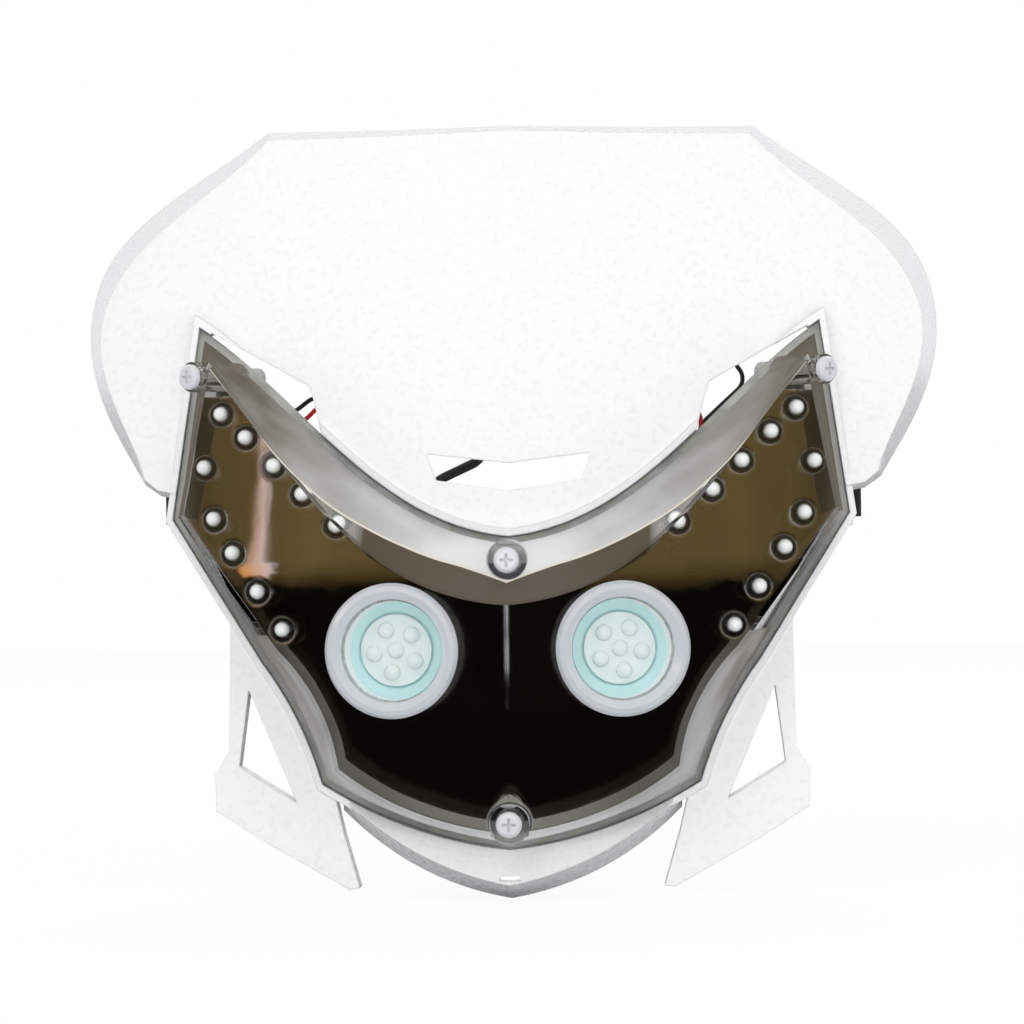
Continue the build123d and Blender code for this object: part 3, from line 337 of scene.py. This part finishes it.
body = shade(tree, "ShaderNodeMixShader", _0=cover.outputs[0], _1=clear.outputs[0], _2=frost.outputs[0])
ray = shade(tree, "ShaderNodeLightPath")
soft = shade(tree, "ShaderNodeMath", {"operation": "MAXIMUM"},
             _0=ray.outputs["Is Shadow Ray"], _1=ray.outputs["Is Diffuse Ray"])
hole = shade(tree, "ShaderNodeBsdfTransparent", {"Color": linear(PC_TINT)})
lens_mix = shade(tree, "ShaderNodeMixShader", _0=soft.outputs[0], _1=body.outputs[0], _2=hole.outputs[0])
tree.links.new(lens_mix.outputs[0], tree.nodes["Material Output"].inputs["Surface"])
for place in cad["lens_cover"].material_slots:
    place.material = polycarbonate

# Lens seal
# A moulded ring of pale silicone rubber squeezed between lens and housing; matt, slightly milky.

SILICONE_PALE = "d6d4cf"
SILICONE_SHADE = "c4c1bb"

silicone = bpy.data.materials.new("pale_silicone")
silicone.use_nodes = True
tree = silicone.node_tree
skin = tree.nodes["Principled BSDF"]
skin.inputs["IOR"].default_value = 1.41
skin.inputs["Subsurface Weight"].default_value = 0.3
skin.inputs["Subsurface Radius"].default_value = (0.001, 0.001, 0.001)
skin.inputs["Subsurface Scale"].default_value = 1.0
place = shade(tree, "ShaderNodeTexCoord").outputs["Object"]
cloud = shade(tree, "ShaderNodeTexNoise", {"Scale": 120.0, "Detail": 3.0}, Vector=place)
tone = shade(tree, "ShaderNodeMix",
             {"data_type": "RGBA", 6: linear(SILICONE_SHADE), 7: linear(SILICONE_PALE)},
             _0=cloud.outputs["Fac"])
tree.links.new(tone.outputs[2], skin.inputs["Base Color"])
dull = shade(tree, "ShaderNodeMapRange", {"To Min": 0.5, "To Max": 0.7}, Value=cloud.outputs["Fac"])
tree.links.new(dull.outputs["Result"], skin.inputs["Roughness"])
for place in cad["lens_seal"].material_slots:
    place.material = silicone

# Fork straps and grommet
# Moulded in black rubber: matt, with fine dust. The straps are hooked over the mask's posts.

RUBBER_BLACK = "151515"
RUBBER_DUST = "2a2928"

rubber = bpy.data.materials.new("black_rubber")
rubber.use_nodes = True
tree = rubber.node_tree
skin = tree.nodes["Principled BSDF"]
skin.inputs["IOR"].default_value = 1.52
place = shade(tree, "ShaderNodeTexCoord").outputs["Object"]
dust = shade(tree, "ShaderNodeTexNoise", {"Scale": 160.0, "Detail": 6.0, "Roughness": 0.7}, Vector=place)
tone = shade(tree, "ShaderNodeMix", {"data_type": "RGBA", 6: linear(RUBBER_BLACK), 7: linear(RUBBER_DUST)},
             _0=dust.outputs["Fac"])
tree.links.new(tone.outputs[2], skin.inputs["Base Color"])
dull = shade(tree, "ShaderNodeMapRange", {"To Min": 0.6, "To Max": 0.85}, Value=dust.outputs["Fac"])
tree.links.new(dull.outputs["Result"], skin.inputs["Roughness"])
relief = shade(tree, "ShaderNodeBump", {"Strength": 0.3, "Distance": 0.0001}, Height=dust.outputs["Fac"])
tree.links.new(relief.outputs["Normal"], skin.inputs["Normal"])
for name in ("left_fork_strap", "right_fork_strap", "cable_grommet"):
    for place in cad[name].material_slots:
        place.material = rubber

# Lamp housing
# Injection moulded ABS in light grey; the mould is spark eroded, which leaves a fine satin grain.

ABS_GREY = "b9b8b4"
ABS_GRAIN = 0.0006

satin_abs = bpy.data.materials.new("satin_grey_abs")
satin_abs.use_nodes = True
tree = satin_abs.node_tree
skin = tree.nodes["Principled BSDF"]
skin.inputs["Base Color"].default_value = linear(ABS_GREY)
skin.inputs["IOR"].default_value = 1.53
place = shade(tree, "ShaderNodeTexCoord").outputs["Object"]
grain = shade(tree, "ShaderNodeTexNoise", {"Scale": 1 / ABS_GRAIN, "Detail": 2.0}, Vector=place)
dull = shade(tree, "ShaderNodeMapRange", {"To Min": 0.35, "To Max": 0.55}, Value=grain.outputs["Fac"])
tree.links.new(dull.outputs["Result"], skin.inputs["Roughness"])
relief = shade(tree, "ShaderNodeBump", {"Strength": 0.25, "Distance": 0.00005}, Height=grain.outputs["Fac"])
tree.links.new(relief.outputs["Normal"], skin.inputs["Normal"])
for place in cad["lamp_housing"].material_slots:
    place.material = satin_abs

# Reflector
# ABS with aluminium evaporated on it in vacuum and a clear lacquer over it. It is a mirror with
# slight waves from the moulding, and a soft roll at every edge.

ALUMINIUM = "d2cdc4"
MIRROR_WAVE = 0.03
MIRROR_ROLL = 0.0016

metallised = bpy.data.materials.new("metallised_abs")
metallised.use_nodes = True
tree = metallised.node_tree
mirror = tree.nodes["Principled BSDF"]
mirror.inputs["Base Color"].default_value = linear(ALUMINIUM)
mirror.inputs["Metallic"].default_value = 1.0
place = shade(tree, "ShaderNodeTexCoord").outputs["Object"]
haze = shade(tree, "ShaderNodeTexNoise", {"Scale": 60.0, "Detail": 4.0}, Vector=place)
polish = shade(tree, "ShaderNodeMapRange", {"To Min": 0.03, "To Max": 0.09}, Value=haze.outputs["Fac"])
tree.links.new(polish.outputs["Result"], mirror.inputs["Roughness"])
wave = shade(tree, "ShaderNodeTexNoise", {"Scale": 1 / MIRROR_WAVE, "Detail": 1.0}, Vector=place)
edge = shade(tree, "ShaderNodeBevel", {"samples": 6, "Radius": MIRROR_ROLL})
relief = shade(tree, "ShaderNodeBump", {"Strength": 0.5, "Distance": 0.0006},
               Height=wave.outputs["Fac"], Normal=edge.outputs["Normal"])
tree.links.new(relief.outputs["Normal"], mirror.inputs["Normal"])
for place in cad["reflector"].material_slots:
    place.material = metallised

# Trim rings
# Turned rings in satin chrome: paler and duller than the reflector, with turning marks.

CHROME_SATIN = "f0f2f8"
CHROME_METAL = 0.3

satin_chrome = bpy.data.materials.new("satin_chrome")
satin_chrome.use_nodes = True
tree = satin_chrome.node_tree
skin = tree.nodes["Principled BSDF"]
skin.inputs["Base Color"].default_value = linear(CHROME_SATIN)
skin.inputs["Metallic"].default_value = CHROME_METAL
place = shade(tree, "ShaderNodeTexCoord").outputs["Object"]
marks = shade(tree, "ShaderNodeTexNoise", {"Scale": 800.0, "Detail": 2.0}, Vector=place)
dull = shade(tree, "ShaderNodeMapRange", {"To Min": 0.12, "To Max": 0.25}, Value=marks.outputs["Fac"])
tree.links.new(dull.outputs["Result"], skin.inputs["Roughness"])
edge = shade(tree, "ShaderNodeBevel", {"samples": 6, "Radius": 0.0003})
tree.links.new(edge.outputs["Normal"], skin.inputs["Normal"])
for side in ("left", "right"):
    for place in cad[f"{side}_trim_ring"].material_slots:
        place.material = satin_chrome

# Round lamps
# Pressed glass over a conical dish with a thin blue green interference coat. The rim under the
# glass and the round board are white.

GLASS_TINT = "fdffff"
DISH_TEAL = "dcfafb"
DISH_WHITE = "fdfefe"
BOARD_WHITE = "fefefe"
BOARD_WEAVE = "f6faf9"
LAMP_OFFSET = 0.0371
LAMP_HEIGHT = -0.0503
LAMP_SLOPE = 0.158
TEAL_RADIUS = 0.0158

pressed_glass = bpy.data.materials.new("pressed_glass")
pressed_glass.use_nodes = True
tree = pressed_glass.node_tree
clear = tree.nodes["Principled BSDF"]
clear.inputs["Base Color"].default_value = linear(GLASS_TINT)
clear.inputs["IOR"].default_value = 1.52
clear.inputs["Roughness"].default_value = 0.0
clear.inputs["Transmission Weight"].default_value = 1.0
place = shade(tree, "ShaderNodeTexCoord").outputs["Object"]
wave = shade(tree, "ShaderNodeTexNoise", {"Scale": 220.0, "Detail": 1.0}, Vector=place)
relief = shade(tree, "ShaderNodeBump", {"Strength": 0.15, "Distance": 0.0001}, Height=wave.outputs["Fac"])
tree.links.new(relief.outputs["Normal"], clear.inputs["Normal"])
ray = shade(tree, "ShaderNodeLightPath")
soft = shade(tree, "ShaderNodeMath", {"operation": "MAXIMUM"},
             _0=ray.outputs["Is Shadow Ray"], _1=ray.outputs["Is Diffuse Ray"])
hole = shade(tree, "ShaderNodeBsdfTransparent", {"Color": linear(GLASS_TINT)})
glass_mix = shade(tree, "ShaderNodeMixShader", _0=soft.outputs[0], _1=clear.outputs[0], _2=hole.outputs[0])
tree.links.new(glass_mix.outputs[0], tree.nodes["Material Output"].inputs["Surface"])

fibreglass = bpy.data.materials.new("white_solder_mask")
fibreglass.use_nodes = True
tree = fibreglass.node_tree
skin = tree.nodes["Principled BSDF"]
skin.inputs["Roughness"].default_value = 0.35
place = shade(tree, "ShaderNodeTexCoord").outputs["Object"]
weave = shade(tree, "ShaderNodeTexNoise", {"Scale": 900.0, "Detail": 2.0}, Vector=place)
tone = shade(tree, "ShaderNodeMix", {"data_type": "RGBA", 6: linear(BOARD_WEAVE), 7: linear(BOARD_WHITE)},
             _0=weave.outputs["Fac"])
tree.links.new(tone.outputs[2], skin.inputs["Base Color"])
relief = shade(tree, "ShaderNodeBump", {"Strength": 0.2, "Distance": 0.00003}, Height=weave.outputs["Fac"])
tree.links.new(relief.outputs["Normal"], skin.inputs["Normal"])

for side, sign in (("left", -1), ("right", 1)):
    dish = bpy.data.materials.new(f"{side}_coated_dish")
    dish.use_nodes = True
    tree = dish.node_tree
    coat = tree.nodes["Principled BSDF"]
    coat.inputs["Metallic"].default_value = 0.05
    coat.inputs["Roughness"].default_value = 0.16
    place = shade(tree, "ShaderNodeTexCoord").outputs["Object"]
    centre = (sign * LAMP_OFFSET, LAMP_OFFSET * LAMP_SLOPE - NOSE_DEPTH, LAMP_HEIGHT)
    axis = Vector((sign * LAMP_SLOPE, -1, 0)).normalized()
    arm = shade(tree, "ShaderNodeVectorMath", {"operation": "SUBTRACT", 1: centre}, _0=place)
    across = shade(tree, "ShaderNodeVectorMath", {"operation": "CROSS_PRODUCT", 1: axis}, _0=arm.outputs[0])
    radius = shade(tree, "ShaderNodeVectorMath", {"operation": "LENGTH"}, _0=across.outputs[0])
    rim = shade(tree, "ShaderNodeMapRange",
                {"From Min": TEAL_RADIUS - 0.0002, "From Max": TEAL_RADIUS + 0.0002},
                Value=radius.outputs["Value"])
    tone = shade(tree, "ShaderNodeMix", {"data_type": "RGBA", 6: linear(DISH_TEAL), 7: linear(DISH_WHITE)},
                 _0=rim.outputs["Result"])
    tree.links.new(tone.outputs[2], coat.inputs["Base Color"])
    for place in cad[f"{side}_lamp_cup"].material_slots:
        place.material = dish
    for place in cad[f"{side}_lamp_glass"].material_slots:
        place.material = pressed_glass
    for name in ("cluster_board", "upper_strip", "side_strip"):
        for place in cad[f"{side}_{name}"].material_slots:
            place.material = fibreglass

# LEDs
# Round LEDs cast in milky epoxy: glossy, a little translucent, slightly warm at the rim.

EPOXY_MILK = "fffffd"
EPOXY_RIM = "f3f3ec"

epoxy = bpy.data.materials.new("milky_epoxy")
epoxy.use_nodes = True
tree = epoxy.node_tree
skin = tree.nodes["Principled BSDF"]
skin.inputs["Roughness"].default_value = 0.08
skin.inputs["IOR"].default_value = 1.54
skin.inputs["Subsurface Weight"].default_value = 0.4
skin.inputs["Subsurface Radius"].default_value = (0.001, 0.001, 0.0008)
skin.inputs["Subsurface Scale"].default_value = 1.0
rim = shade(tree, "ShaderNodeLayerWeight", {"Blend": 0.35})
tone = shade(tree, "ShaderNodeMix", {"data_type": "RGBA", 6: linear(EPOXY_MILK), 7: linear(EPOXY_RIM)},
             _0=rim.outputs["Facing"])
tree.links.new(tone.outputs[2], skin.inputs["Base Color"])
for name in ("cluster_leds", "upper_leds", "side_leds"):
    for side in ("left", "right"):
        for place in cad[f"{side}_{name}"].material_slots:
            place.material = epoxy

# Screws
# Pan head screws in steel with bright zinc plate, passivated to a pale silky white.

ZINC = "e9eaee"
ZINC_METAL = 0.2

zinc_plate = bpy.data.materials.new("bright_zinc_plate")
zinc_plate.use_nodes = True
tree = zinc_plate.node_tree
skin = tree.nodes["Principled BSDF"]
skin.inputs["Base Color"].default_value = linear(ZINC)
skin.inputs["Metallic"].default_value = ZINC_METAL
place = shade(tree, "ShaderNodeTexCoord").outputs["Object"]
grit = shade(tree, "ShaderNodeTexNoise", {"Scale": 700.0, "Detail": 3.0}, Vector=place)
dull = shade(tree, "ShaderNodeMapRange", {"To Min": 0.12, "To Max": 0.32}, Value=grit.outputs["Fac"])
tree.links.new(dull.outputs["Result"], skin.inputs["Roughness"])
edge = shade(tree, "ShaderNodeBevel", {"samples": 6, "Radius": 0.0002})
relief = shade(tree, "ShaderNodeBump", {"Strength": 0.2, "Distance": 0.00003},
               Height=grit.outputs["Fac"], Normal=edge.outputs["Normal"])
tree.links.new(relief.outputs["Normal"], skin.inputs["Normal"])
screw_names = ["top_screw", "bottom_screw"]
for side in ("left", "right"):
    screw_names += [f"{side}_horn_screw", f"{side}_upper_housing_screw", f"{side}_lower_housing_screw"]
for name in screw_names:
    for place in cad[name].material_slots:
        place.material = zinc_plate

# Sockets and connector
# Black nylon mouldings with a light grain; the blades in the connector are brass.

NYLON_BLACK = "1a1a1b"
BRASS = "c8a557"

nylon = bpy.data.materials.new("black_nylon")
nylon.use_nodes = True
tree = nylon.node_tree
skin = tree.nodes["Principled BSDF"]
skin.inputs["Base Color"].default_value = linear(NYLON_BLACK)
skin.inputs["IOR"].default_value = 1.53
place = shade(tree, "ShaderNodeTexCoord").outputs["Object"]
grain = shade(tree, "ShaderNodeTexNoise", {"Scale": 1200.0, "Detail": 2.0}, Vector=place)
dull = shade(tree, "ShaderNodeMapRange", {"To Min": 0.3, "To Max": 0.5}, Value=grain.outputs["Fac"])
tree.links.new(dull.outputs["Result"], skin.inputs["Roughness"])
edge = shade(tree, "ShaderNodeBevel", {"samples": 6, "Radius": 0.0004})
tree.links.new(edge.outputs["Normal"], skin.inputs["Normal"])
for name in ("left_lamp_socket", "right_lamp_socket", "cable_connector"):
    for place in cad[name].material_slots:
        place.material = nylon

brass = bpy.data.materials.new("stamped_brass")
brass.use_nodes = True
tree = brass.node_tree
skin = tree.nodes["Principled BSDF"]
skin.inputs["Base Color"].default_value = linear(BRASS)
skin.inputs["Metallic"].default_value = 1.0
place = shade(tree, "ShaderNodeTexCoord").outputs["Object"]
rolling = shade(tree, "ShaderNodeTexNoise", {"Scale": 500.0, "Detail": 3.0}, Vector=place)
dull = shade(tree, "ShaderNodeMapRange", {"To Min": 0.2, "To Max": 0.35}, Value=rolling.outputs["Fac"])
tree.links.new(dull.outputs["Result"], skin.inputs["Roughness"])
for place in cad["connector_blades"].material_slots:
    place.material = brass

# Cable and lamp wires
# Soft extruded PVC: the main cable is black, the lamp wires are red and black. Drawing it through
# the die leaves a dull shine that varies a little.

PVC_BLACK = "121212"
PVC_RED = "c3121b"

for name, colour in (("black_pvc", PVC_BLACK), ("red_pvc", PVC_RED)):
    pvc = bpy.data.materials.new(name)
    pvc.use_nodes = True
    tree = pvc.node_tree
    skin = tree.nodes["Principled BSDF"]
    skin.inputs["Base Color"].default_value = linear(colour)
    skin.inputs["IOR"].default_value = 1.53
    place = shade(tree, "ShaderNodeTexCoord").outputs["Object"]
    drag = shade(tree, "ShaderNodeTexNoise", {"Scale": 400.0, "Detail": 2.0}, Vector=place)
    dull = shade(tree, "ShaderNodeMapRange", {"To Min": 0.25, "To Max": 0.42}, Value=drag.outputs["Fac"])
    tree.links.new(dull.outputs["Result"], skin.inputs["Roughness"])
for place in cad["main_cable"].material_slots:
    place.material = bpy.data.materials["black_pvc"]
for side in ("left", "right"):
    for name, pvc in (("red_wire", "red_pvc"), ("black_wire", "black_pvc")):
        for place in cad[f"{side}_{name}"].material_slots:
            place.material = bpy.data.materials[pvc]
